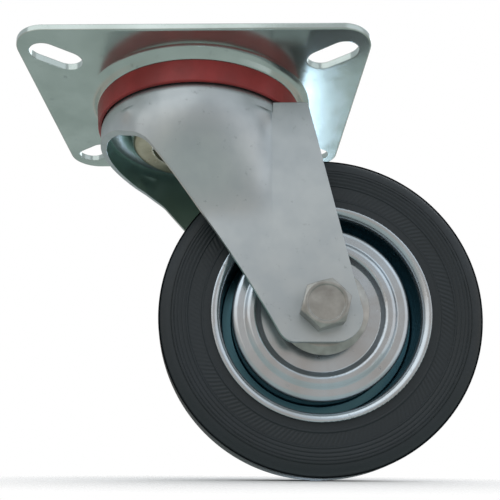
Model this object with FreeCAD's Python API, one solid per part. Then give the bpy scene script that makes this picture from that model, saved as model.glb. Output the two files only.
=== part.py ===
import FreeCAD
import Part
import math
import os

# Swivel plate castor, in millimetres, +Z up.
# Origin: the swivel axis where it meets the top face of the plate.
# The fork trails towards +X, and the wheel's axle lies along Y.
# "Near" pieces are on the -Y side, where the bolt's head is, and "far" pieces on the +Y side.

Vector = FreeCAD.Vector
SWIVEL_AXIS = Vector(0, 0, 1)

# ---------------------------------------------------------------- overall sizes
wheel_diameter = 100.0
wheel_headroom = 25.0        # top face of the plate down to the top of the wheel
trail = 38.0                 # swivel axis to axle, seen from above
tyre_width = 30.0
plate_length = 102.0
plate_width = 85.0

# ---------------------------------------------------------------- top plate
plate_thickness = 2.0
plate_corner_radius = 9.5
plate_edge_rounding = 0.45
bolt_pitch_x = 80.0
bolt_pitch_y = 60.0
slot_width = 9.0
slot_inner_reach = 7.3       # bolt's place to the end of its slot, towards the middle of the plate
slot_outer_reach = 8.5       # bolt's place to the other end of its slot
boss_depth = 5.0             # top face of the plate down to the lower face of the pressed boss
boss_overhang = 1.2          # how far the boss reaches past the crown of the fork
boss_draft = 1.6             # how much the boss narrows on its way down
boss_flare = 2.5             # radius where the flat plate turns down into the boss
boss_rounding = 0.8
boss_race_depth = 0.5

# ---------------------------------------------------------------- swivel bearing
crown_radius = 32.3
ball_clearance = 0.05
upper_ball_diameter = 6.0
upper_ball_count = 24
upper_race_edge = 1.8        # upper balls to the outside of the crown, seen from above
crown_race_depth = 1.0
lower_ball_diameter = 5.0
lower_ball_count = 18
lower_race_inset = 9.5       # upper pitch radius less the lower one
lower_race_depth = 0.5
cup_thickness = 1.8
cup_middle_radius = 14.2     # flat middle of the cup, inside the trough
cup_wall_slope = 0.7         # how much the walls of the trough lean in towards its bottom
cup_edge_radius = 2.0
cup_lip_height = 0.5         # height of the cup's lip and floor above the centres of its balls
seal_height = 6.2
seal_wall = 1.15
seal_flange = 0.8
seal_taper = 0.4
seal_gap = 0.45              # seal to the shoulder of the crown

# ---------------------------------------------------------------- king pin
pin_shank_radius = 6.0
pin_shoulder_radius = 7.0
pin_tail_radius = 5.0
pin_head_radius = 10.5
pin_head_height = 2.0
pin_peen_radius = 7.2
pin_peen_height = 1.7
pin_fit = 0.02               # riveted faces of the pin to the holes that they fill
crown_hole_gap = 0.4         # shoulder of the pin to the hole in the crown

# ---------------------------------------------------------------- fork
fork_thickness = 2.0
fork_side_gap = 4.3          # rim's lip to the inner face of a leg
shoulder_radius = 3.8        # outside of the bend between the crown's top and its skirt
crown_rise = 1.5             # how far the middle of the crown stands above its race
crown_rise_slope = 2.0
crown_skirt_height = 5.5     # race level down to the lower edge of the revolved crown
ridge_thickness = 2.0        # wall left under the upper race
crease_ledge = 0.3           # crease where a leg leaves the crown, to the free end of the wing's top
join_tolerance = 0.001       # crown and walls meet on one circle, one drawn as an arc and one as a spline
bulge_start = 16.0           # depth where the legs begin to draw in from the crown
bulge_length = 34.0          # height over which they become flat
crease_blend = 5.0           # width over which the bulge runs smoothly into the flat of a leg
crease_fade = 6.0            # height over which the sharp crease at the crown turns into that blend
wing_reach = 1.65            # rear edge of a leg past the crown, at the depth of its top
wing_top_depth = 12.0
wing_top_radius = 1.2
skirt_front_depth = 17.0     # lower edge of the skirt at the very front
skirt_side_x = 0.42          # where the skirt turns into the leg's front edge, as a share of the crown radius
skirt_side_depth = 26.3
leg_front_at_foot = 12.9     # front edge of the leg ahead of the axle, at the foot
leg_rear_at_foot = 13.3      # rear edge behind the axle, at the foot
foot_drop = 10.3             # foot below the axle
foot_front_radius = 3.0
foot_rear_radius = 8.0

# ---------------------------------------------------------------- axle
axle_diameter = 8.0
axle_hole_gap = 0.2
flats_wall = 2.5             # bolt to the flats of its head and its nut
head_height = 5.4
head_recess_radius = 5.1
head_recess_depth = 0.3
head_turn = 16.0             # direction of one corner of the head, in degrees from +X towards +Z
nut_height = 8.0
nut_collar_height = 2.0
nut_turn = 8.0
insert_wall = 1.3
insert_height = 1.5
thread_clearance = 0.05
thread_end = 2.0             # bolt past the nut
washer_thickness = 1.0
washer_overhang = 0.2        # flat of the washer past the hub tube
washer_flange = 2.2          # width of the washer's edge that is bent towards the wheel
washer_dish = 1.2            # how far the edge is bent
washer_bend = 0.8            # centre line of the bend
sleeve_wall = 1.9
sleeve_gap = 0.1

# ---------------------------------------------------------------- wheel bearing and hub
roller_diameter = 3.0
roller_count = 10
roller_length = 28.0
roller_clearance = 0.05
cage_wall = 2.4
cage_end = 3.3               # length of the cage past its rollers, at each end
hub_wall = 1.9
hub_end_gap = 0.3            # end of the hub tube to the washer
retainer_thickness = 1.0
retainer_gap = 0.3

# ---------------------------------------------------------------- rim and tyre
rim_thickness = 1.2
rim_lip_height = 1.5         # lip above the tyre's seat
rim_bend = 1.5               # centre line of the bend between lip and seat
rim_bend_small = 1.1         # centre line of the other bends
rim_seat_radius = 31.4
rim_groove_width = 3.4
disc_face_inset = 0.5        # flat of the disc below the side of the tyre
bead_outer_radius = 22.2
bead_inner_radius = 19.6
bead_height = 1.0
dish_radius = 18.2
dish_depth = 0.5
tyre_shoulder = 4.5
tread_slope = 7.0            # degrees from the axle's direction, towards each side
tread_crown_radius = 80.0
tyre_side_gap = 0.05
tyre_seat_rounding = 1.4
tyre_band_outer = 39.5
tyre_band_inner = 35.5
tyre_band_depth = 0.35

# ---------------------------------------------------------------- sizes that follow
wheel_radius = wheel_diameter / 2
axle_z = -(wheel_headroom + wheel_radius)
lip_outer_y = tyre_width / 2 + rim_thickness
leg_inner_y = lip_outer_y + fork_side_gap
leg_outer_y = leg_inner_y + fork_thickness

upper_ball_radius = upper_ball_diameter / 2
lower_ball_radius = lower_ball_diameter / 2
upper_pitch = crown_radius - upper_race_edge - upper_ball_radius
lower_pitch = upper_pitch - lower_race_inset

boss_bottom_z = -boss_depth
boss_floor_z = boss_bottom_z + plate_thickness
upper_ball_z = boss_bottom_z + boss_race_depth - upper_ball_radius
crown_top_z = upper_ball_z - upper_ball_radius + crown_race_depth
crown_mid_top_z = crown_top_z + crown_rise
crown_mid_bottom_z = crown_mid_top_z - fork_thickness
lower_ball_z = crown_mid_bottom_z + lower_race_depth - lower_ball_radius
cup_top_z = lower_ball_z + cup_lip_height
cup_bottom_z = cup_top_z - cup_thickness
crown_skirt_z = crown_top_z - crown_skirt_height

axle_radius = axle_diameter / 2
sleeve_bore = axle_radius + sleeve_gap
sleeve_radius = sleeve_bore + sleeve_wall
roller_radius = roller_diameter / 2
roller_pitch = sleeve_radius + roller_clearance + roller_radius
hub_bore = roller_pitch + roller_radius + roller_clearance
hub_radius = hub_bore + hub_wall
washer_radius = hub_radius + washer_overhang + washer_flange
head_across_flats = axle_diameter + 2 * flats_wall
washer_inner_y = leg_inner_y - washer_thickness
hub_half_length = washer_inner_y - hub_end_gap
cage_half_length = roller_length / 2 + cage_end


# ---------------------------------------------------------------- drawing helpers
def corner_arc(before, corner, after, radius):
    """Start, middle and end of the arc of this radius that rounds a corner."""
    back = (before - corner).normalize()
    ahead = (after - corner).normalize()
    half_angle = back.getAngle(ahead) / 2
    bisector = (back + ahead).normalize()
    centre = corner + bisector * (radius / math.sin(half_angle))
    run = radius / math.tan(half_angle)
    return corner + back * run, centre - bisector * radius, corner + ahead * run


def rounded_wire(points):
    """Closed wire in the XZ plane through (x, z, corner radius) points."""
    corners = [Vector(x, 0, z) for x, z, radius in points]
    arcs = []
    for index, (x, z, radius) in enumerate(points):
        corner = corners[index]
        after = corners[(index + 1) % len(points)]
        if radius > 0:
            arcs.append(corner_arc(corners[index - 1], corner, after, radius))
        else:
            arcs.append((corner, corner, corner))
    edges = []
    for index, (start, middle, end) in enumerate(arcs):
        if start.distanceToPoint(end) > 1e-6:
            edges.append(Part.Arc(start, middle, end).toShape())
        following = arcs[(index + 1) % len(arcs)][0]
        if end.distanceToPoint(following) > 1e-6:
            edges.append(Part.LineSegment(end, following).toShape())
    return Part.Wire(edges)


def turned(points):
    """Solid of revolution about Z of a closed outline of (radius, height, corner radius) points."""
    face = Part.Face(rounded_wire(points))
    return face.revolve(Vector(0, 0, 0), SWIVEL_AXIS, 360)


def ring(inner, outer, low, high, rounding=0.0):
    """Plain ring about Z, with its four edges rounded if a rounding is given."""
    corners = [(inner, low), (outer, low), (outer, high), (inner, high)]
    return turned([(r, h, rounding) for r, h in corners])


def sheet_points(path, thickness, end_rounding):
    """Outline of a bent sheet, half its thickness each side of a path of (r, h, bend radius)."""
    centres = [Vector(r, 0, h) for r, h, bend in path]
    sides = {1: [], -1: []}
    for index, (r, h, bend) in enumerate(path):
        into = centres[index] - centres[max(index - 1, 0)]
        out = centres[min(index + 1, len(path) - 1)] - centres[index]
        into = (into if index > 0 else out).normalize()
        out = (out if index < len(path) - 1 else into).normalize()
        normal_in = Vector(-into.z, 0, into.x)
        normal_out = Vector(-out.z, 0, out.x)
        mitre = (normal_in + normal_out).normalize()
        reach = thickness / 2 / mitre.dot(normal_in)
        turn = math.copysign(1, into.x * out.z - into.z * out.x)
        for side in sides:
            place = centres[index] + mitre * (reach * side)
            at_end = index in (0, len(path) - 1)
            radius = end_rounding if at_end else bend - side * turn * thickness / 2
            sides[side].append((place.x, place.z, radius))
    return sides[1] + sides[-1][::-1]


def torus(pitch, radius, height):
    """Ring of round section about Z."""
    return Part.makeTorus(pitch, radius, Vector(0, 0, height), SWIVEL_AXIS)


def balls(pitch, radius, height, count):
    """Compound of evenly spaced balls."""
    solids = []
    for index in range(count):
        angle = 2 * math.pi * index / count
        place = Vector(pitch * math.cos(angle), pitch * math.sin(angle), height)
        solids.append(Part.makeSphere(radius, place))
    return Part.makeCompound(solids)


def on_axle(shape, side):
    """Lays a shape drawn about Z on the axle, with +Z pointing to the near (-1) or far (+1) side."""
    placed = shape.copy()
    placed.rotate(Vector(0, 0, 0), Vector(1, 0, 0), -90 * side)
    placed.translate(Vector(trail, 0, axle_z))
    return placed


def hexagon(across_flats, low, high, turn):
    """Hexagonal prism about Z with one corner in the direction turn, in degrees."""
    circumradius = across_flats / math.sqrt(3)
    corners = []
    for index in range(7):
        angle = math.radians(turn + 60 * index)
        corners.append(Vector(circumradius * math.cos(angle), circumradius * math.sin(angle), low))
    return Part.Face(Part.makePolygon(corners)).extrude(Vector(0, 0, high - low))


def chamfered_hexagon(across_flats, low, high, turn, chamfer_low=False):
    """Hexagon with its corners turned down at 30 degrees at the top, and below if asked."""
    circumradius = across_flats / math.sqrt(3)
    flat = across_flats / 2 * 0.94
    drop = (circumradius - flat) * math.tan(math.radians(30))
    points = [(0, low, 0), (flat if chamfer_low else circumradius, low, 0)]
    if chamfer_low:
        points.append((circumradius, low + drop, 0))
    points += [(circumradius, high - drop, 0), (flat, high, 0), (0, high, 0)]
    return hexagon(across_flats, low, high, turn).common(turned(points))


# ---------------------------------------------------------------- plate side of the swivel
def make_top_plate():
    """Flat plate with a round boss pressed down in its middle and four slots that point at it."""
    half_x = plate_length / 2
    half_y = plate_width / 2
    outline = [(-half_x, -half_y), (half_x, -half_y), (half_x, half_y), (-half_x, half_y)]
    wire = rounded_wire([(x, y, plate_corner_radius) for x, y in outline])
    plate = Part.Face(wire).extrude(Vector(0, plate_thickness, 0))
    plate.rotate(Vector(0, 0, 0), Vector(1, 0, 0), -90)
    flat_edges = [edge for edge in plate.Edges if edge.BoundBox.ZLength < 1e-6]
    plate = plate.makeFillet(plate_edge_rounding, flat_edges)

    floor_radius = crown_radius + boss_overhang
    top_radius = floor_radius + boss_draft
    flare_radius = top_radius + boss_flare
    recess_radius = top_radius - plate_thickness
    boss = turned([
        (0, 0, 0),
        (flare_radius, 0, 0),
        (flare_radius, -plate_thickness, 0),
        (top_radius, -plate_thickness, boss_flare),
        (floor_radius, boss_bottom_z, boss_rounding),
        (0, boss_bottom_z, 0),
    ])
    recess = turned([
        (0, boss_floor_z, 0),
        (recess_radius - boss_draft, boss_floor_z, boss_rounding),
        (recess_radius, 0, boss_rounding / 2),
        (recess_radius + boss_rounding, 0, 0),
        (recess_radius + boss_rounding, 1, 0),
        (0, 1, 0),
    ])
    plate = plate.fuse(boss).cut(recess)
    plate = plate.cut(torus(upper_pitch, upper_ball_radius + ball_clearance, upper_ball_z))
    hole_radius = pin_shank_radius + pin_fit
    plate = plate.cut(Part.makeCylinder(hole_radius, boss_depth, Vector(0, 0, boss_bottom_z)))
    for x_side in (-1, 1):
        for y_side in (-1, 1):
            plate = plate.cut(make_slot(x_side, y_side))
    return plate.removeSplitter()


def make_slot(x_side, y_side):
    """Cutter for one round-ended slot that points at the middle of the plate."""
    radius = slot_width / 2
    middle = Vector(x_side * bolt_pitch_x / 2, y_side * bolt_pitch_y / 2, -plate_thickness - 1)
    along = Vector(middle.x, middle.y, 0).normalize()
    across = Vector(-along.y, along.x, 0) * radius
    outer = middle + along * (slot_outer_reach - radius)
    inner = middle - along * (slot_inner_reach - radius)
    edges = [
        Part.LineSegment(inner + across, outer + across).toShape(),
        Part.Arc(outer + across, outer + along * radius, outer - across).toShape(),
        Part.LineSegment(outer - across, inner - across).toShape(),
        Part.Arc(inner - across, inner - along * radius, inner + across).toShape(),
    ]
    return Part.Face(Part.Wire(edges)).extrude(Vector(0, 0, plate_thickness + 2))


def make_king_pin():
    """Shouldered rivet: head in the plate's recess, shoulder through the fork, end peened under the cup."""
    head_top = boss_floor_z + pin_head_height
    return turned([
        (0, cup_bottom_z - pin_peen_height, 0),
        (pin_peen_radius * 0.6, cup_bottom_z - pin_peen_height, pin_peen_height),
        (pin_peen_radius, cup_bottom_z - pin_peen_height * 0.2, 0.3),
        (pin_peen_radius, cup_bottom_z, 0),
        (pin_tail_radius, cup_bottom_z, 0),
        (pin_tail_radius, cup_top_z, 0),
        (pin_shoulder_radius, cup_top_z, 0),
        (pin_shoulder_radius, boss_bottom_z, 0),
        (pin_shank_radius, boss_bottom_z, 0),
        (pin_shank_radius, boss_floor_z, 0),
        (pin_head_radius, boss_floor_z, 0),
        (pin_head_radius, head_top - pin_head_height * 0.5, 0.4),
        (pin_head_radius * 0.62, head_top, 2.0),
        (0, head_top, 0),
    ])


def make_lower_race_cup():
    """Pressed cup under the crown: flat middle, deep trough for the lower balls, upright lip."""
    groove = lower_ball_radius + ball_clearance
    bore = pin_tail_radius + pin_fit
    outer = lower_pitch + groove + cup_thickness
    low = lower_ball_z - groove - cup_thickness
    cup = turned([
        (bore, cup_bottom_z, 0),
        (cup_middle_radius, cup_bottom_z, 1.0),
        (cup_middle_radius + cup_wall_slope, low, 1.0),
        (outer - cup_wall_slope, low, cup_edge_radius),
        (outer, cup_top_z, 0.3),
        (bore, cup_top_z, 0),
    ])
    cup = cup.cut(torus(lower_pitch, groove, lower_ball_z))
    cup = cup.cut(ring(lower_pitch - groove, lower_pitch + groove, lower_ball_z, cup_top_z + 1))
    return cup.removeSplitter()


def shoulder_radius_at(height):
    """Radius of the crown's outer shoulder at this height."""
    bend_z = crown_top_z - shoulder_radius
    rise = max(height - bend_z, 0)
    return crown_radius - shoulder_radius + math.sqrt(shoulder_radius ** 2 - rise ** 2)


def make_dust_seal():
    """Plastic ring under the boss that closes the gap round the upper balls."""
    low = boss_bottom_z - seal_height
    inner = shoulder_radius_at(low) + seal_gap
    outer = inner + seal_wall
    lip = upper_pitch + upper_ball_radius + 4 * ball_clearance
    return turned([
        (lip, boss_bottom_z, 0),
        (outer + seal_taper, boss_bottom_z, 0.3),
        (outer, low, 0.3),
        (inner, low, 0.2),
        (inner + seal_taper, boss_bottom_z - seal_flange, 0.2),
        (lip, boss_bottom_z - seal_flange, 0.2),
    ])


# ---------------------------------------------------------------- fork
def make_crown():
    """Round top of the fork: raised middle, race for the upper balls, shoulder and short skirt."""
    wall_radius = crown_radius - fork_thickness
    hole_radius = pin_shoulder_radius + crown_hole_gap
    cup_reach = lower_pitch + lower_ball_radius + cup_thickness
    rise_foot = cup_reach + crown_rise_slope + 0.2
    rise_head = rise_foot - crown_rise_slope
    ridge = upper_ball_radius + ball_clearance + ridge_thickness
    race_bottom_z = crown_top_z - fork_thickness
    outer = turned([
        (hole_radius, crown_mid_top_z, 0.3),
        (rise_head, crown_mid_top_z, 1.0),
        (rise_foot, crown_top_z, 0.6),
        (crown_radius, crown_top_z, shoulder_radius),
        (crown_radius, crown_skirt_z, 0),
        (wall_radius, crown_skirt_z, 0),
        (wall_radius, race_bottom_z, shoulder_radius - fork_thickness),
        (rise_foot + 0.6, race_bottom_z, 0.6),
        (rise_head + 0.6, crown_mid_bottom_z, 0.6),
        (hole_radius, crown_mid_bottom_z, 0.3),
    ])
    under_race = torus(upper_pitch, ridge, upper_ball_z)
    under_race = under_race.common(ring(0, wall_radius + 1, upper_ball_z - ridge - 1, crown_top_z - 0.5))
    crown = outer.fuse(under_race)
    crown = crown.cut(torus(upper_pitch, upper_ball_radius + ball_clearance, upper_ball_z))
    return crown.cut(torus(lower_pitch, lower_ball_radius + ball_clearance, lower_ball_z))


def bulge(depth):
    """Share of the crown's roundness that a leg still has at this depth, from 1 at the top to 0."""
    t = min(max((depth - bulge_start) / bulge_length, 0), 1)
    return 1 - t * t * (3 - 2 * t)


def round_wall(radius, flat_y, depths):
    """Surface round the front from one leg to the other, flattened towards the legs' plane with depth.

    Its ends meet the flat legs at a crease that is sharp at the top and smooth further down."""
    limit = math.pi - math.asin(flat_y / radius)
    count = 48
    shares = [index / count for index in range(count + 1)]
    sections = []
    for depth in depths:
        blend = crease_blend * min((depth - depths[0]) / crease_fade, 1)
        points = []
        for index in range(count + 1):
            angle = limit * (2 * index / count - 1)
            y = radius * math.sin(angle)
            beyond = max(abs(y) - flat_y, 0)
            kept = beyond if beyond >= blend else beyond ** 2 * (2 - beyond / blend) / blend
            y -= math.copysign(beyond - kept * bulge(depth), y)
            points.append(Vector(-radius * math.cos(angle), y, -depth))
        curve = Part.BSplineCurve()
        curve.interpolate(Points=points, Parameters=shares)
        sections.append(Part.Wire([curve.toShape()]))
    return Part.makeLoft(sections, False, False).Faces[0]


def rectangle(corner, first, second):
    """Flat face from a corner along two vectors."""
    corners = [corner, corner + first, corner + first + second, corner + second, corner]
    return Part.Face(Part.makePolygon(corners))


def bent_walls(depths, rear_x):
    """Bent sheet between the first and the last depth: wing, round front, wing, all one thickness."""
    outer_radius = crown_radius
    inner_radius = crown_radius - fork_thickness
    down = Vector(0, 0, depths[0] - depths[-1])
    faces = []
    cap_edges = {depths[0]: [], depths[-1]: []}
    for radius, flat_y in ((outer_radius, leg_outer_y), (inner_radius, leg_inner_y)):
        wall = round_wall(radius, flat_y, depths)
        faces.append(wall)
        for depth, edges in cap_edges.items():
            edges += [e for e in wall.Edges if max(abs(v.Z + depth) for v in e.Vertexes) < 1e-6]
        crease_x = math.sqrt(radius ** 2 - flat_y ** 2)
        for y in (-flat_y, flat_y):
            corner = Vector(crease_x, y, -depths[0])
            along = Vector(rear_x - crease_x, 0, 0)
            faces.append(rectangle(corner, along, down))
            for depth, edges in cap_edges.items():
                start = Vector(crease_x, y, -depth)
                edges.append(Part.LineSegment(start, start + along).toShape())
    for side in (-1, 1):
        across = Vector(0, side * fork_thickness, 0)
        faces.append(rectangle(Vector(rear_x, side * leg_inner_y, -depths[0]), across, down))
        for depth, edges in cap_edges.items():
            start = Vector(rear_x, side * leg_inner_y, -depth)
            edges.append(Part.LineSegment(start, start + across).toShape())
    for edges in cap_edges.values():
        faces.append(Part.Face(Part.Wire(Part.sortEdges(edges)[0])))
    shell = Part.makeShell(faces)
    shell.sewShape()
    return Part.makeSolid(shell)


def leg_outline():
    """Side view of skirt and legs, as a closed wire in the XZ plane."""
    foot_z = axle_z - foot_drop
    front_x = -crown_radius - 1
    crease_x = math.sqrt(crown_radius ** 2 - leg_outer_y ** 2)
    join_z = crown_skirt_z
    wing_x = crown_radius + wing_reach
    rear_foot_x = trail + leg_rear_at_foot
    front_foot_x = trail - leg_front_at_foot
    side = Vector(-crown_radius * skirt_side_x, 0, -skirt_side_depth)
    front = Vector(front_x, 0, -skirt_front_depth)
    heel = Vector(front_foot_x, 0, foot_z + foot_front_radius)
    skirt_bend = side + Vector(-0.11 * crown_radius, 0, 0.12 * crown_radius)
    leg_bend = side + Vector((heel.x - side.x) * 0.54, 0, (heel.z - side.z) * 0.43)

    skirt_edge = Part.BezierCurve()
    skirt_edge.setPoles([front, skirt_bend, side])
    front_edge = Part.BezierCurve()
    front_edge.setPoles([side, leg_bend, heel])

    foot_front = Vector(front_foot_x + foot_front_radius * 0.55, 0, foot_z)
    rear_corner = Vector(rear_foot_x, 0, foot_z)
    wing_corner = Vector(wing_x, 0, -wing_top_depth)
    wing_front = Vector(crease_x + crease_ledge, 0, -wing_top_depth)
    foot_arc = corner_arc(foot_front, rear_corner, wing_corner, foot_rear_radius)
    wing_arc = corner_arc(rear_corner, wing_corner, wing_front, wing_top_radius)
    toe_bend = Part.BezierCurve()
    toe_direction = (heel - leg_bend).normalize()
    toe_corner = heel + toe_direction * ((heel.z - foot_z) / -toe_direction.z)
    foot_start = toe_corner + Vector(foot_front_radius, 0, 0)
    toe_bend.setPoles([heel, toe_corner, foot_start])
    inner_corner = Vector(wing_front.x, 0, join_z)
    front_top = Vector(front_x, 0, join_z)
    return Part.Wire([
        skirt_edge.toShape(),
        front_edge.toShape(),
        toe_bend.toShape(),
        Part.LineSegment(foot_start, foot_arc[0]).toShape(),
        Part.Arc(*foot_arc).toShape(),
        Part.LineSegment(foot_arc[2], wing_arc[0]).toShape(),
        Part.Arc(*wing_arc).toShape(),
        Part.LineSegment(wing_arc[2], wing_front).toShape(),
        Part.LineSegment(wing_front, inner_corner).toShape(),
        Part.LineSegment(inner_corner, front_top).toShape(),
        Part.LineSegment(front_top, front).toShape(),
    ])


def make_legs():
    """Skirt and both legs below the crown, and the flat wings beside it, cut to their side view."""
    rear_x = trail + leg_rear_at_foot + 5
    foot_z = axle_z - foot_drop
    rows = 24
    drop = foot_z - 1 - crown_skirt_z
    walls = bent_walls([-(crown_skirt_z + drop * index / rows) for index in range(rows + 1)], rear_x)
    wing_x = math.sqrt(crown_radius ** 2 - leg_outer_y ** 2) + crease_ledge
    wing_height = -crown_skirt_z
    for y in (-leg_outer_y, leg_inner_y):
        corner = Vector(wing_x, y, crown_skirt_z - 1)
        walls = walls.fuse(Part.makeBox(rear_x - wing_x, fork_thickness, wing_height, corner))
    side_view = Part.Face(leg_outline())
    side_view.translate(Vector(0, -crown_radius - 5, 0))
    prism = side_view.extrude(Vector(0, 2 * crown_radius + 10, 0))
    return walls.common(prism).removeSplitter()


def make_fork():
    """Pressed sheet fork: crown, skirt and two legs in one piece, drilled for the axle bolt."""
    fork = make_crown().fuse([make_legs()], join_tolerance)
    hole = Part.makeCylinder(axle_radius + axle_hole_gap, 4 * leg_outer_y)
    hole.translate(Vector(0, 0, -2 * leg_outer_y))
    return fork.cut(on_axle(hole, 1)).removeSplitter()


# ---------------------------------------------------------------- axle
def make_axle_bolt():
    """Hexagon bolt through both legs, with its head on the near side."""
    shank_end = -(leg_outer_y + nut_height + thread_end)
    head_top = leg_outer_y + head_height
    head = chamfered_hexagon(head_across_flats, leg_outer_y, head_top, head_turn)
    recess = turned([
        (0, head_top - head_recess_depth, 0),
        (head_recess_radius, head_top - head_recess_depth, 0),
        (head_recess_radius + head_recess_depth, head_top + 0.001, 0),
        (0, head_top + 0.001, 0),
    ])
    head = head.cut(recess)
    shank = turned([
        (0, leg_outer_y + 1, 0),
        (0, shank_end, 0),
        (axle_radius - 0.8, shank_end, 0),
        (axle_radius, shank_end + 0.8, 0),
        (axle_radius, leg_outer_y + 1, 0),
    ])
    return on_axle(head.fuse(shank).removeSplitter(), -1)


def make_axle_nut():
    """Locking nut on the far side: hexagon with a round collar that holds a nylon ring."""
    low = leg_outer_y
    top = low + nut_height
    hex_top = top - nut_collar_height
    body = chamfered_hexagon(head_across_flats, low, hex_top, nut_turn, True)
    collar_radius = head_across_flats / 2 * 0.93
    collar = turned([
        (0, hex_top - 1, 0),
        (collar_radius, hex_top - 1, 0),
        (collar_radius, top, 1.2),
        (0, top, 0),
    ])
    bore = axle_radius + thread_clearance
    pocket_top = top - 0.35
    hollow = turned([
        (0, low - 1, 0),
        (bore, low - 1, 0),
        (bore, pocket_top - insert_height, 0),
        (bore + insert_wall, pocket_top - insert_height, 0),
        (bore + insert_wall, pocket_top, 0),
        (bore + 0.5, pocket_top, 0),
        (bore + 0.5, top + 1, 0),
        (0, top + 1, 0),
    ])
    return on_axle(body.fuse(collar).cut(hollow).removeSplitter(), 1)


def make_nut_insert():
    """Nylon ring inside the collar of the nut."""
    pocket_top = leg_outer_y + nut_height - 0.35
    bore = axle_radius + thread_clearance / 2
    outer = axle_radius + thread_clearance + insert_wall
    return on_axle(ring(bore, outer, pocket_top - insert_height, pocket_top), 1)


def make_side_washer(side):
    """Wide washer between a leg and the sleeve, its edge bent to cover the end of the hub."""
    middle = washer_inner_y + washer_thickness / 2
    path = [
        (sleeve_bore, middle, 0),
        (washer_radius - washer_flange, middle, washer_bend),
        (washer_radius, middle - washer_dish, 0),
    ]
    return on_axle(turned(sheet_points(path, washer_thickness, 0.15)), side)


def make_axle_sleeve():
    """Steel tube clamped between the washers, which the rollers run on."""
    return on_axle(ring(sleeve_bore, sleeve_radius, -washer_inner_y, washer_inner_y), 1)


# ---------------------------------------------------------------- wheel bearing
def make_roller_cage():
    """Nylon tube with one long window for each roller."""
    middle = roller_pitch
    low_radius = max(middle - cage_wall / 2, sleeve_radius + retainer_gap)
    cage = ring(low_radius, middle + cage_wall / 2, -cage_half_length, cage_half_length)
    window_width = roller_diameter + 2 * roller_clearance
    window_length = roller_length + 0.2
    for index in range(roller_count):
        window = Part.makeBox(hub_radius, window_width, window_length)
        window.translate(Vector(0, -window_width / 2, -window_length / 2))
        window.rotate(Vector(0, 0, 0), SWIVEL_AXIS, 360 * index / roller_count)
        cage = cage.cut(window)
    return on_axle(cage, 1)


def make_bearing_rollers():
    """Steel rollers in the windows of the cage."""
    rollers = []
    for index in range(roller_count):
        angle = 2 * math.pi * index / roller_count
        roller = Part.makeCylinder(roller_radius, roller_length)
        roller.translate(Vector(roller_pitch * math.cos(angle), roller_pitch * math.sin(angle), -roller_length / 2))
        rollers.append(roller)
    return on_axle(Part.makeCompound(rollers), 1)


def make_bearing_retainer(side):
    """Ring pressed into the end of the hub tube, which keeps the cage in."""
    inner = sleeve_radius + retainer_gap
    high = hub_half_length
    return on_axle(ring(inner, hub_bore, high - retainer_thickness, high), side)


def make_hub_tube():
    """Steel tube through the middle of the wheel, which the rollers turn in."""
    return on_axle(ring(hub_bore, hub_radius, -hub_half_length, hub_half_length), 1)


# ---------------------------------------------------------------- wheel
def make_rim_shell(side):
    """Pressed half of the rim: lip, seat, web on the middle plane, and a dished disc with a bead."""
    half = rim_thickness / 2
    lip_h = tyre_width / 2 + half
    seat_r = rim_seat_radius - half
    groove_r = seat_r - rim_groove_width - rim_thickness
    face_h = tyre_width / 2 - disc_face_inset - half
    path = [
        (rim_seat_radius + rim_lip_height, lip_h, 0),
        (seat_r, lip_h, rim_bend),
        (seat_r, half, rim_bend_small),
        (groove_r, half, rim_bend_small),
        (groove_r, face_h, rim_bend_small),
        (bead_outer_radius + 0.6, face_h, rim_bend_small),
        (bead_outer_radius - 0.6, face_h + bead_height, 0.9),
        (bead_inner_radius + 0.2, face_h + bead_height, 0.9),
        (dish_radius, face_h - dish_depth, 0.9),
        (hub_radius, face_h - dish_depth, 0),
    ]
    outline = sheet_points(path, rim_thickness, 0.3)
    last = len(path) - 1
    flat_ends = (last, last + 1)
    outline = [(r, h, 0 if index in flat_ends else bend) for index, (r, h, bend) in enumerate(outline)]
    return on_axle(turned(outline), side)


def make_tyre():
    """Solid rubber tyre: flat sides with a shallow band, round shoulders and a crowned tread."""
    side_h = tyre_width / 2 - tyre_side_gap
    band_h = side_h - tyre_band_depth
    slope = math.radians(tread_slope)
    ridge_r = wheel_radius + tread_crown_radius * (1 / math.cos(slope) - 1)
    edge_r = ridge_r - side_h * math.tan(slope)
    half = [
        (rim_seat_radius, side_h, tyre_seat_rounding),
        (tyre_band_inner, side_h, 0.2),
        (tyre_band_inner + 0.4, band_h, 0.2),
        (tyre_band_outer - 0.4, band_h, 0.2),
        (tyre_band_outer, side_h, 0.2),
        (edge_r, side_h, tyre_shoulder),
    ]
    mirrored = [(r, -h, rounding) for r, h, rounding in half[::-1]]
    return on_axle(turned(half + [(ridge_r, 0, tread_crown_radius)] + mirrored), 1)


parts = {
    "top_plate": make_top_plate(),
    "king_pin": make_king_pin(),
    "lower_race_cup": make_lower_race_cup(),
    "dust_seal": make_dust_seal(),
    "upper_balls": balls(upper_pitch, upper_ball_radius, upper_ball_z, upper_ball_count),
    "lower_balls": balls(lower_pitch, lower_ball_radius, lower_ball_z, lower_ball_count),
    "fork": make_fork(),
    "axle_bolt": make_axle_bolt(),
    "axle_nut": make_axle_nut(),
    "nut_insert": make_nut_insert(),
    "axle_sleeve": make_axle_sleeve(),
    "side_washer_near": make_side_washer(-1),
    "side_washer_far": make_side_washer(1),
    "roller_cage": make_roller_cage(),
    "bearing_rollers": make_bearing_rollers(),
    "bearing_retainer_near": make_bearing_retainer(-1),
    "bearing_retainer_far": make_bearing_retainer(1),
    "hub_tube": make_hub_tube(),
    "rim_shell_near": make_rim_shell(-1),
    "rim_shell_far": make_rim_shell(1),
    "tyre": make_tyre(),
}

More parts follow.
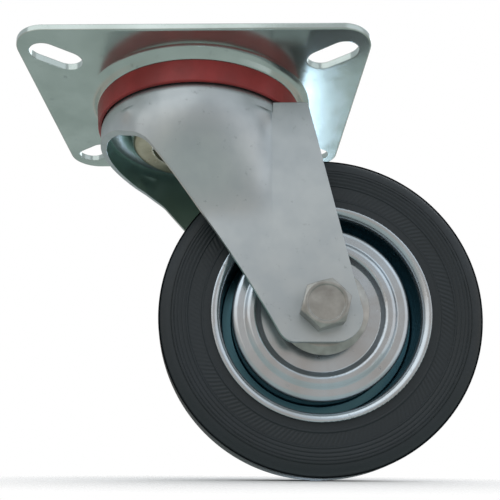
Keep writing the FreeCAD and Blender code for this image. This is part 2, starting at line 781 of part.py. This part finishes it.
os.makedirs("parts", exist_ok=True)
for name, shape in parts.items():
    shape.exportStep(f"parts/{name}.step")
    box = shape.BoundBox
    print(f"{name}: {len(shape.Solids)} solid(s), valid {shape.isValid()}, volume {shape.Volume:.1f} mm3")
    print(f"    x {box.XMin:.2f} {box.XMax:.2f}  y {box.YMin:.2f} {box.YMax:.2f}  z {box.ZMin:.2f} {box.ZMax:.2f}")
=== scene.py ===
import math

import bpy
import numpy as np
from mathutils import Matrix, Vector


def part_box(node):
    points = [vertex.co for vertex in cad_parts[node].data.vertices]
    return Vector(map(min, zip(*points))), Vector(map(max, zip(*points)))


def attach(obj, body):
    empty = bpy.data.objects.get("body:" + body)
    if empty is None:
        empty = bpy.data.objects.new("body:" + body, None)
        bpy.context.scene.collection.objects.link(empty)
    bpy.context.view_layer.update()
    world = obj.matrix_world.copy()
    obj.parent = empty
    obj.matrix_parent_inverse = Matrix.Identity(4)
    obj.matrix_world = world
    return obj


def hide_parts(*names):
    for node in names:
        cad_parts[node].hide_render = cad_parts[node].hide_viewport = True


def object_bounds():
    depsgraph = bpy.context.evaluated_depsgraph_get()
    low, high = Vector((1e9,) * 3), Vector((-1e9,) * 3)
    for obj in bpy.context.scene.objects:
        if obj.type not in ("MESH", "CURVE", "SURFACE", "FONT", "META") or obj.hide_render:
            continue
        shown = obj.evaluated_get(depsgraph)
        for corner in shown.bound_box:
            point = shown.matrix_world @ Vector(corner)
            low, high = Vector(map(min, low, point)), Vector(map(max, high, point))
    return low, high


# Swivel castor with a solid rubber tyre on a pressed rim: its finishes, the tyre's moulded detail,
# and a plain studio. Lengths in this script are millimetres until they go into a mesh, in metres.

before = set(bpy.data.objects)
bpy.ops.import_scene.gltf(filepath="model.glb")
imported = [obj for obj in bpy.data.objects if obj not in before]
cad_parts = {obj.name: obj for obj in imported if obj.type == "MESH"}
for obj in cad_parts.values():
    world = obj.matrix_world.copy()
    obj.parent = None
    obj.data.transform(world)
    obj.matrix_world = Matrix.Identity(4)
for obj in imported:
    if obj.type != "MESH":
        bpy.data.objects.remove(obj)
cad_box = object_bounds()
MM = 0.001

tyre_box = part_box("tyre")
axle_x = (tyre_box[0].x + tyre_box[1].x) / 2
axle_z = (tyre_box[0].z + tyre_box[1].z) / 2
wheel_radius = (tyre_box[1].z - tyre_box[0].z) / 2 / MM
tyre_side = tyre_box[1].y / MM
floor_z = tyre_box[0].z
groove_inner = 26.5          # rim's disc, about the axle
groove_outer = 30.5          # inside of the rim's lip
groove_top = 13.6            # from the middle plane
ripple_count = 170           # mould ripples round the side of the tyre
ripple_slant = 2.6           # radians of a ripple's phase for each millimetre outwards


# ---------------------------------------------------------------- surfaces
def rounded(corners, step=15.0, guard=0.12):
    """Outline through (radius, height, rounding) corners: each rounded corner is an arc tangent to
    both sides, sampled every few degrees and every 2 mm, with one more point just outside each end."""
    points = []
    places = np.array([c[:2] for c in corners], float)
    for index, (r, h, radius) in enumerate(corners):
        corner = places[index]
        back = places[index - 1] - corner
        ahead = places[(index + 1) % len(places)] - corner
        back, reach_back = back / np.linalg.norm(back), np.linalg.norm(back)
        ahead, reach_ahead = ahead / np.linalg.norm(ahead), np.linalg.norm(ahead)
        half = math.acos(np.clip(back @ ahead, -1, 1)) / 2
        run = radius / math.tan(half)
        middle = (back + ahead) / np.linalg.norm(back + ahead)
        centre = corner + middle * radius / math.sin(half)
        start = corner + back * run
        end = corner + ahead * run
        sweep = math.pi - 2 * half
        count = max(2, int(math.degrees(sweep) / step) + 1, int(radius * sweep / 2))
        first = math.atan2(*(start - centre)[::-1])
        last = math.atan2(*(end - centre)[::-1])
        turn = (last - first + math.pi) % (2 * math.pi) - math.pi
        angles = first + turn * np.linspace(0, 1, count + 1)
        arc = centre + radius * np.stack([np.cos(angles), np.sin(angles)], 1)
        points.append(start + back * min(guard, max(reach_back - run, 0) / 3))
        points.extend(arc)
        points.append(end + ahead * min(guard, max(reach_ahead - run, 0) / 3))
    return np.array(points)


def turned_on_axle(name, outline, around):
    """Surface of revolution about the axle: a closed (radius, height) outline, counted by u, is
    carried round the full circle, counted by v; x = r cos v, y = height, z = r sin v."""
    count = len(outline)
    v = np.linspace(0, 2 * math.pi, around, endpoint=False)
    r = outline[:, 0][:, None] * MM
    x = axle_x + r * np.cos(v)[None, :]
    z = axle_z + r * np.sin(v)[None, :]
    y = np.repeat(outline[:, 1][:, None] * MM, around, 1)
    places = np.stack([x, y, z], 2).reshape(-1, 3)
    u_index = np.arange(count)[:, None]
    v_index = np.arange(around)[None, :]
    u_next = (u_index + 1) % count
    v_next = (v_index + 1) % around
    quads = np.stack([
        u_index * around + v_index,
        u_index * around + v_next,
        u_next * around + v_next,
        u_next * around + v_index,
    ], 2).reshape(-1, 4)
    ahead = np.roll(outline, -1, 0)
    area = np.sum(outline[:, 0] * ahead[:, 1] - ahead[:, 0] * outline[:, 1])
    if area < 0:
        quads = quads[:, ::-1]
    return new_piece(name, places, quads)


def new_piece(name, places, quads):
    """Smooth-shaded mesh object at the origin from arrays of vertices and four-sided faces."""
    mesh = bpy.data.meshes.new(name)
    mesh.vertices.add(len(places))
    mesh.vertices.foreach_set("co", places.astype(np.float32).ravel())
    mesh.loops.add(quads.size)
    mesh.loops.foreach_set("vertex_index", quads.astype(np.int32).ravel())
    mesh.polygons.add(len(quads))
    mesh.polygons.foreach_set("loop_start", np.arange(0, quads.size, 4, dtype=np.int32))
    mesh.polygons.foreach_set("use_smooth", np.ones(len(quads), bool))
    mesh.update(calc_edges=True)
    mesh.validate()
    piece = bpy.data.objects.new(name, mesh)
    bpy.context.scene.collection.objects.link(piece)
    return piece


# ---------------------------------------------------------------- materials
def linear(hex_colour):
    """sRGB hex to linear red, green, blue and alpha."""
    parts = [int(hex_colour[i:i + 2], 16) / 255 for i in (1, 3, 5)]
    return [c / 12.92 if c <= 0.04045 else ((c + 0.055) / 1.055) ** 2.4 for c in parts] + [1.0]


def node(tree, kind, settings=None, **inputs):
    """Adds one node; settings are its properties, inputs are values or sockets, _ for a space in a name."""
    made = tree.nodes.new(kind)
    for key, value in (settings or {}).items():
        setattr(made, key, value)
    for key, value in inputs.items():
        plain = key.replace("_", " ")
        socket = made.inputs[int(key[1:])] if key[1:].isdigit() and key[0] == "i" else made.inputs[plain]
        if isinstance(value, bpy.types.NodeSocket):
            tree.links.new(value, socket)
        else:
            socket.default_value = value
    return made


def new_material(name):
    """Material with an empty Principled shader, its node tree and its Object coordinates."""
    material = bpy.data.materials.new(name)
    material.use_nodes = True
    tree = material.node_tree
    tree.nodes.clear()
    shader = node(tree, "ShaderNodeBsdfPrincipled")
    out = node(tree, "ShaderNodeOutputMaterial")
    tree.links.new(shader.outputs["BSDF"], out.inputs["Surface"])
    place = node(tree, "ShaderNodeTexCoord").outputs["Object"]
    return material, tree, shader, place


def noise(tree, place, grain_mm, detail=3.0, roughness=0.55):
    """Noise with one lump about every grain_mm millimetres, from 0 to 1."""
    return node(tree, "ShaderNodeTexNoise", Vector=place, Scale=1 / (grain_mm * MM), Detail=detail,
                Roughness=roughness).outputs[0]


def between(tree, value, low, high, out_low=0.0, out_high=1.0):
    """Stretches a value from one range to another and clamps it."""
    return node(tree, "ShaderNodeMapRange", Value=value, From_Min=low, From_Max=high, To_Min=out_low,
                To_Max=out_high).outputs[0]


def arithmetic(tree, operation, first, second=0.0):
    """One Math node."""
    return node(tree, "ShaderNodeMath", {"operation": operation}, i0=first, i1=second).outputs[0]


def blended(tree, share, first, second):
    """Mix of two colours by a share; each colour is a hex string or a socket."""
    first = linear(first) if isinstance(first, str) else first
    second = linear(second) if isinstance(second, str) else second
    return node(tree, "ShaderNodeMix", {"data_type": "RGBA"}, i0=share, i6=first, i7=second).outputs[2]


def zinc_plating(name, pale, dull, gloss, edge_mm, cloud_and_sheen_mm, bump_mm, painted_shade_mask=None, painted_shade_tone=None,
                 radial_sheen=None):
    """Electroplated zinc over pressed steel: pale satin metal, a little cloudy where the plating varies,
    with fine pits and handling marks and softened sheet edges that catch the light. Where a mask marks
    a recess, a darker blue-green tone is blended in as painted shade. On a spun part the clouds follow
    its radii and are a painted radial sheen of reflections."""
    material, tree, shader, place = new_material(name)
    # On a spun part these clouds are a painted radial sheen; elsewhere they are plating that varies.
    cloud_and_sheen = between(tree, noise(tree, radial_sheen(tree, place) if radial_sheen else place, cloud_and_sheen_mm), 0.35, 0.65)
    grain = noise(tree, place, 1.1, 2.0)
    smear = between(tree, noise(tree, place, 7.0, 4.0), 0.3, 0.7)
    marks = between(tree, noise(tree, place, 3.0, 6.0, 0.7), 0.62, 0.72)
    tone = blended(tree, cloud_and_sheen, pale, dull)
    tone = blended(tree, arithmetic(tree, "MULTIPLY", marks, 0.45), tone, "#70777A")
    rough = arithmetic(tree, "ADD", between(tree, smear, 0.0, 1.0, gloss - 0.03, gloss + 0.04),
                       arithmetic(tree, "MULTIPLY", marks, 0.10))
    # Painted shade: a darker blue-green tone is blended into the recesses that the mask marks.
    if painted_shade_mask is not None:
        tone = blended(tree, painted_shade_mask(tree, place), tone, painted_shade_tone)
    tree.links.new(tone, shader.inputs["Base Color"])
    tree.links.new(rough, shader.inputs["Roughness"])
    shader.inputs["Metallic"].default_value = 0.9
    soft_edge = node(tree, "ShaderNodeBevel", {"samples": 4}, Radius=edge_mm * MM).outputs[0]
    height = arithmetic(tree, "SUBTRACT", arithmetic(tree, "MULTIPLY", grain, 0.3), marks)
    bump = node(tree, "ShaderNodeBump", Strength=0.5, Distance=bump_mm * MM, Height=height,
                Normal=soft_edge).outputs[0]
    tree.links.new(bump, shader.inputs["Normal"])
    return material


def polar_about_axle(tree, place):
    """Radius about the axle in millimetres, and the angle round it."""
    centred = node(tree, "ShaderNodeMapping", Vector=place, Location=(-axle_x, 0, -axle_z)).outputs[0]
    split = node(tree, "ShaderNodeSeparateXYZ", Vector=centred).outputs
    flat = node(tree, "ShaderNodeCombineXYZ", X=split["X"], Z=split["Z"]).outputs[0]
    length = node(tree, "ShaderNodeVectorMath", {"operation": "LENGTH"}, i0=flat).outputs["Value"]
    return arithmetic(tree, "MULTIPLY", length, 1 / MM), arithmetic(tree, "ARCTAN2", split["Z"], split["X"])


def along_radii(tree, place):
    """Direction from the axle, so that the rim's clouds are drawn out along its radii as a painted radial
    sheen.
    """
    centred = node(tree, "ShaderNodeMapping", Vector=place, Location=(-axle_x, 0, -axle_z)).outputs[0]
    flat = node(tree, "ShaderNodeVectorMath", {"operation": "MULTIPLY"}, i0=centred, i1=(1, 0, 1)).outputs[0]
    way = node(tree, "ShaderNodeVectorMath", {"operation": "NORMALIZE"}, i0=flat).outputs[0]
    return node(tree, "ShaderNodeVectorMath", {"operation": "SCALE"}, i0=way, Scale=0.03).outputs[0]


def rim_groove_shade(tree, place):
    """1 inside the deep groove between the rim's lip and its disc, where a dark teal painted shade goes."""
    radius = polar_about_axle(tree, place)[0]
    side = node(tree, "ShaderNodeSeparateXYZ", Vector=place).outputs["Y"]
    depth = arithmetic(tree, "MULTIPLY", arithmetic(tree, "ABSOLUTE", side), 1 / MM)
    inner = between(tree, radius, groove_inner, groove_inner + 0.1)
    outer = between(tree, radius, groove_outer + 0.1, groove_outer)
    below = between(tree, depth, groove_top, groove_top - 0.5)
    return arithmetic(tree, "MULTIPLY", arithmetic(tree, "MULTIPLY", inner, outer), below)


def fork_inside_shade(tree, place):
    """1 where a wall of the fork faces the swivel axis: inside the skirt, and between the legs, where a
    blue-green painted shade goes.
    """
    outward = node(tree, "ShaderNodeVectorMath", {"operation": "MULTIPLY"}, i0=place, i1=(1, 1, 0)).outputs[0]
    outward = node(tree, "ShaderNodeVectorMath", {"operation": "NORMALIZE"}, i0=outward).outputs[0]
    facing = node(tree, "ShaderNodeTexCoord").outputs["Normal"]
    lean = node(tree, "ShaderNodeVectorMath", {"operation": "DOT_PRODUCT"}, i0=facing, i1=outward)
    return between(tree, lean.outputs["Value"], -0.2, -0.5)


def ground_steel(name, colour, gloss):
    """Bare hardened or turned steel: grey metal with faint turning marks."""
    material, tree, shader, place = new_material(name)
    tone = blended(tree, noise(tree, place, 3.0), colour, "#77797A")
    tree.links.new(tone, shader.inputs["Base Color"])
    shader.inputs["Metallic"].default_value = 1.0
    rough = between(tree, noise(tree, place, 0.8), 0.3, 0.7, gloss, gloss + 0.08)
    tree.links.new(rough, shader.inputs["Roughness"])
    return material


def moulded_plastic(name, colour, shade, gloss, grain_mm):
    """Injection moulded plastic: even colour, satin skin with a faint moulded grain."""
    material, tree, shader, place = new_material(name)
    tone = blended(tree, between(tree, noise(tree, place, 9.0), 0.35, 0.65), colour, shade)
    tree.links.new(tone, shader.inputs["Base Color"])
    grain = noise(tree, place, grain_mm, 2.0)
    tree.links.new(between(tree, grain, 0.3, 0.7, gloss - 0.04, gloss + 0.06), shader.inputs["Roughness"])
    shader.inputs["IOR"].default_value = 1.5
    bump = node(tree, "ShaderNodeBump", Strength=0.2, Distance=0.05 * MM, Height=grain).outputs[0]
    tree.links.new(bump, shader.inputs["Normal"])
    return material


def moulded_rubber(name):
    """Solid black rubber from a steel mould: charcoal with a grey bloom, satin on the sides, and slanted
    fine ripples, 1.4 mm apart, left by the mould in the band round the rim. The ripples are a bump, and
    their crests are painted lighter as a painted highlight."""
    material, tree, shader, place = new_material(name)
    radius, angle = polar_about_axle(tree, place)
    slant = arithmetic(tree, "MULTIPLY", radius, ripple_slant)
    phase = arithmetic(tree, "ADD", arithmetic(tree, "MULTIPLY", angle, ripple_count), slant)
    ripple = arithmetic(tree, "SINE", phase)
    band = arithmetic(tree, "MULTIPLY", between(tree, radius, 36.0, 36.5), between(tree, radius, 40.5, 39.0))
    uneven = between(tree, noise(tree, place, 22.0, 1.0), 0.38, 0.60, 0.25, 1.0)
    ripple = arithmetic(tree, "MULTIPLY", arithmetic(tree, "MULTIPLY", ripple, band), uneven)
    bloom = between(tree, noise(tree, place, 24.0), 0.35, 0.65)
    tone = blended(tree, bloom, "#1A2328", "#151E21")
    # Painted highlight: the ripple crests are painted a lighter blue-grey.
    tone = blended(tree, between(tree, ripple, -1.0, 1.0, 0.0, 0.5), tone, "#283138")
    tree.links.new(tone, shader.inputs["Base Color"])
    skin = noise(tree, place, 0.7, 3.0)
    tree.links.new(between(tree, skin, 0.3, 0.7, 0.50, 0.62), shader.inputs["Roughness"])
    shader.inputs["IOR"].default_value = 1.5
    height = arithmetic(tree, "ADD", arithmetic(tree, "MULTIPLY", ripple, 0.5),
                        arithmetic(tree, "MULTIPLY", skin, 0.2))
    bump = node(tree, "ShaderNodeBump", Strength=0.6, Distance=0.2 * MM, Height=height).outputs[0]
    tree.links.new(bump, shader.inputs["Normal"])
    return material


zinc_on_plate = zinc_plating("zinc_plated_steel_plate", "#C3CDC9", "#B2BDB8", 0.17, 0.4, 20.0, 0.012)
# The inside of the fork is painted blue-green, #A6C6C0: painted shade between the legs.
zinc_on_fork = zinc_plating("zinc_plated_steel_fork", "#C0C7C9", "#B2BABE", 0.42, 0.35, 14.0, 0.03,
                            fork_inside_shade, "#A6C6C0")
# On the rim the pale and dull tones are blended along the radii: a painted radial sheen.
# The rim's deep groove is painted dark teal, #4E7886: painted shade.
zinc_on_rim = zinc_plating("bright_zinc_plated_rim", "#CAD8E2", "#BCC1C4", 0.22, 0.3, 24.0, 0.01,
                           rim_groove_shade, "#4E7886", along_radii)
zinc_on_fastener = zinc_plating("bright_zinc_fastener", "#B1B2AE", "#979793", 0.32, 0.3, 5.0, 0.03)
zinc_on_cup = zinc_plating("yellow_zinc_cup", "#C2B9A2", "#A69C85", 0.30, 0.4, 9.0, 0.02)
ball_steel = ground_steel("hardened_ball_steel", "#B9BBBC", 0.12)
turned_steel = ground_steel("oiled_turned_steel", "#8C8E8F", 0.30)
red_seal = moulded_plastic("red_moulded_plastic", "#A23232", "#8C2A29", 0.40, 0.8)
grey_nylon = moulded_plastic("grey_nylon", "#5A5A57", "#4C4C4A", 0.50, 0.8)
blue_nylon = moulded_plastic("blue_nylon", "#2E5C9A", "#284F86", 0.45, 0.8)
tyre_rubber = moulded_rubber("moulded_black_rubber")

node_finishes = {
    "top_plate": zinc_on_plate,
    "king_pin": zinc_on_fastener,
    "lower_race_cup": zinc_on_cup,
    "dust_seal": red_seal,
    "upper_balls": ball_steel,
    "lower_balls": ball_steel,
    "fork": zinc_on_fork,
    "axle_bolt": zinc_on_fastener,
    "axle_nut": zinc_on_fastener,
    "nut_insert": blue_nylon,
    "axle_sleeve": turned_steel,
    "side_washer_near": zinc_on_fastener,
    "side_washer_far": zinc_on_fastener,
    "roller_cage": grey_nylon,
    "bearing_rollers": ball_steel,
    "bearing_retainer_near": grey_nylon,
    "bearing_retainer_far": grey_nylon,
    "hub_tube": turned_steel,
    "rim_shell_near": zinc_on_rim,
    "rim_shell_far": zinc_on_rim,
}
for name, material in node_finishes.items():
    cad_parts[name].material_slots[0].material = material

# ---------------------------------------------------------------- tyre
bore_radius = 31.4
seat_rounding = 1.4
step_radius = 35.6
band_depth = 0.35
tread_slope = math.radians(7.0)
tread_crown = 80.0
shoulder_rounding = 4.5
flash_line = 12.2            # mould's parting ridge on the tread, from the middle plane
flash_height = 0.12


def tyre_outline():
    """Section of the tyre: flat side with a fine raised step, a sunk band, five fine mould rings, a round
    shoulder, a parting ridge with a groove beside it, and a crowned tread; mirrored on the middle plane."""
    ridge = wheel_radius + tread_crown * (1 / math.cos(tread_slope) - 1)
    edge = ridge - tyre_side * math.tan(tread_slope)
    half = [
        (bore_radius, tyre_side, seat_rounding),
        (step_radius - 0.35, tyre_side - 0.12, 0.1),
        (step_radius - 0.1, tyre_side, 0.08),
        (step_radius + 0.15, tyre_side, 0.08),
        (step_radius + 0.5, tyre_side - band_depth, 0.15),
        (39.9, tyre_side - band_depth, 0.15),
    ]
    for ring, drop in ((40.3, 0.12), (41.5, 0.10), (42.7, 0.12), (43.7, 0.16), (44.5, 0.2)):
        half.append((ring - 0.2, tyre_side - drop, 0.12))
        half.append((ring + 0.15, tyre_side - drop, 0.12))
        half.append((ring + 0.4, tyre_side - drop - 0.22, 0.12))
    half.append((edge, tyre_side, shoulder_rounding))

    def tread_at(h):
        return ridge - h * math.tan(tread_slope)

    width = 0.5
    half += [
        (tread_at(flash_line), flash_line, 0.3),
        (tread_at(flash_line - width) + flash_height, flash_line - width, 0.3),
        (tread_at(flash_line - 2 * width) - flash_height, flash_line - 2 * width, 0.3),
        (tread_at(flash_line - 3 * width), flash_line - 3 * width, 0.3),
    ]
    mirrored = [(r, -h, rounding) for r, h, rounding in half[::-1]]
    return rounded(half + [(ridge, 0, tread_crown)] + mirrored)


tyre = turned_on_axle("solid_rubber_tyre", tyre_outline(), 240)
tyre.data.materials.append(tyre_rubber)
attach(tyre, "wheel")
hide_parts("tyre")


# ---------------------------------------------------------------- studio
def soft_light(name, place, aim, size, watts, colour):
    """Square soft light at a place in metres, turned towards a point."""
    data = bpy.data.lights.new(name, "AREA")
    data.size = size
    data.energy = watts
    data.color = linear(colour)[:3]
    light = bpy.data.objects.new(name, data)
    light.location = place
    direction = np.array(aim) - np.array(place)
    light.rotation_euler = bpy_vector(direction).to_track_quat("-Z", "Y").to_euler()
    light.visible_camera = False
    bpy.context.scene.collection.objects.link(light)


def bpy_vector(values):
    """Three numbers as a Blender vector."""
    return type(cad_box[0])(tuple(float(v) for v in values))


middle = (0.02, 0.0, -0.06)
soft_light("key_light", (-0.7, -1.1, 0.9), middle, 1.8, 7.0, "#FFFFFF")
soft_light("fill_light", (1.2, -0.9, 0.3), middle, 1.6, 3.5, "#F2F6FF")
soft_light("rear_light", (0.5, 0.9, 0.7), middle, 0.8, 4.0, "#F4F8FF")

# A round floor that fades out into the white surround, so that no edge shows behind the castor. The
# pale surround below it, and not the floor, is what the plating mirrors.
floor_reach = 0.45
fade_start = 0.02            # metres from the middle of the castor
fade_end = 0.11
corners = np.array([(-1, -1, 0), (1, -1, 0), (1, 1, 0), (-1, 1, 0)], float) * floor_reach + (0, 0, floor_z)
floor = new_piece("studio_floor", corners, np.array([[0, 1, 2, 3]]))
floor_paint, floor_tree, floor_shader, floor_place = new_material("pale_studio_paint")
floor_tone = blended(floor_tree, noise(floor_tree, floor_place, 300.0), "#F6F6F5", "#F3F3F2")
floor_tree.links.new(floor_tone, floor_shader.inputs["Base Color"])
floor_shader.inputs["Roughness"].default_value = 0.9
flat_place = node(floor_tree, "ShaderNodeVectorMath", {"operation": "MULTIPLY_ADD"}, i0=floor_place,
                  i1=(1, 1, 0), i2=(-axle_x / 2, 0, 0)).outputs[0]
from_middle = node(floor_tree, "ShaderNodeVectorMath", {"operation": "LENGTH"}, i0=flat_place)
fade = between(floor_tree, from_middle.outputs["Value"], fade_start, fade_end, 1.0, 0.0)
floor_tree.links.new(fade, floor_shader.inputs["Alpha"])
floor.data.materials.append(floor_paint)
floor.visible_glossy = False
floor.visible_shadow = False

world = bpy.data.worlds.new("studio")
world.use_nodes = True
world_tree = world.node_tree
world_tree.nodes.clear()
way = node(world_tree, "ShaderNodeTexCoord").outputs["Generated"]
split = node(world_tree, "ShaderNodeSeparateXYZ", Vector=way).outputs
height = split["Z"]
below = blended(world_tree, between(world_tree, height, -0.30, 0.10), "#AEB8B5", "#BDB0A7")
low = blended(world_tree, between(world_tree, height, 0.20, 0.38), below, "#C2C8CD")
walls = blended(world_tree, between(world_tree, height, 0.35, 0.9), low, "#D9DDDF")

# A tall window behind and below, which the underside of the plate mirrors as one blue-white streak.
window_bearing = math.radians(84.8)
window_edge = math.radians(1.9)
window_core = math.radians(0.4)
window_light = [6.0, 7.6, 9.5, 1.0]
bearing = arithmetic(world_tree, "ARCTAN2", split["Y"], split["X"])
aside = arithmetic(world_tree, "ABSOLUTE", arithmetic(world_tree, "SUBTRACT", bearing, window_bearing))
window = arithmetic(world_tree, "MULTIPLY", between(world_tree, aside, window_edge, window_core),
                    between(world_tree, height, 0.05, -0.10))
walls = blended(world_tree, window, walls, window_light)
seen = node(world_tree, "ShaderNodeLightPath").outputs["Is Camera Ray"]
shade = blended(world_tree, seen, walls, "#FFFFFF")
background = node(world_tree, "ShaderNodeBackground", Color=shade, Strength=1.0)
world_out = node(world_tree, "ShaderNodeOutputWorld")
world_tree.links.new(background.outputs[0], world_out.inputs["Surface"])
bpy.context.scene.world = world
bpy.context.scene.view_settings.view_transform = "Standard"

lens = bpy.data.cameras.new("camera")
lens.sensor_width = 36.0
lens.lens = 48.436
lens.shift_x = 0.056
lens.shift_y = 0.25
lens.clip_start = 0.01
camera = bpy.data.objects.new("camera", lens)
camera.location = (0.01208, -0.21248, -0.12100)
camera.rotation_euler = [math.radians(a) for a in (97.798, -0.347, 0.999)]
bpy.context.scene.collection.objects.link(camera)
bpy.context.scene.camera = camera
